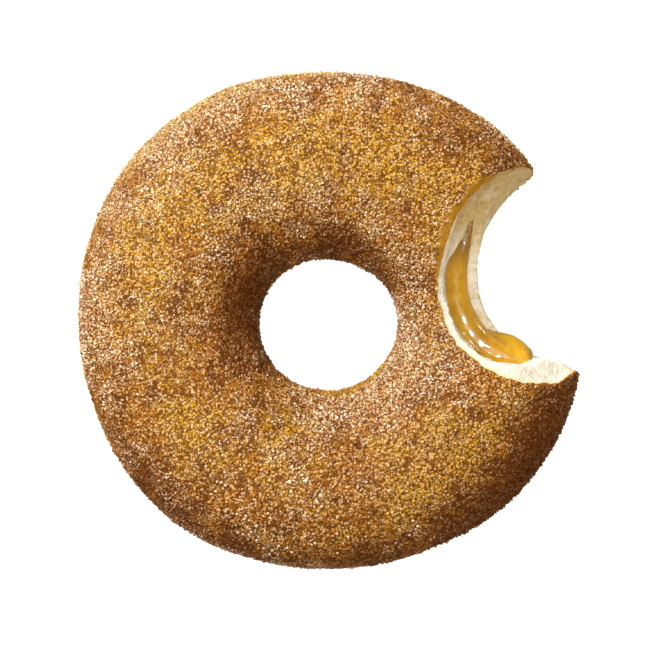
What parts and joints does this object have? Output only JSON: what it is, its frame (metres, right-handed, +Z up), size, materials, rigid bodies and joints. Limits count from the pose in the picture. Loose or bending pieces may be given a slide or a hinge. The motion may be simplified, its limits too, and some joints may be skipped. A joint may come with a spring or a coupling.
{
  "type": "filled ring doughnut",
  "caption": "Bitten ring doughnut with a coated crust, pale crumb and a ring of fruit filling that shows in the bite.",
  "frame": {"origin": "on the underside's plane, below the middle of the doughnut's outline", "axes": "+Z up through the hole, +X towards the bite"},
  "size_m": [0.0948, 0.0944, 0.0302],
  "materials": {
    "crust": "rough, coated with sugar and cinnamon",
    "filling": "wet and glossy"
  },
  "bodies": {
    "root": {"dough": "crust", "filling": "filling"}
  },
  "joints": []
}
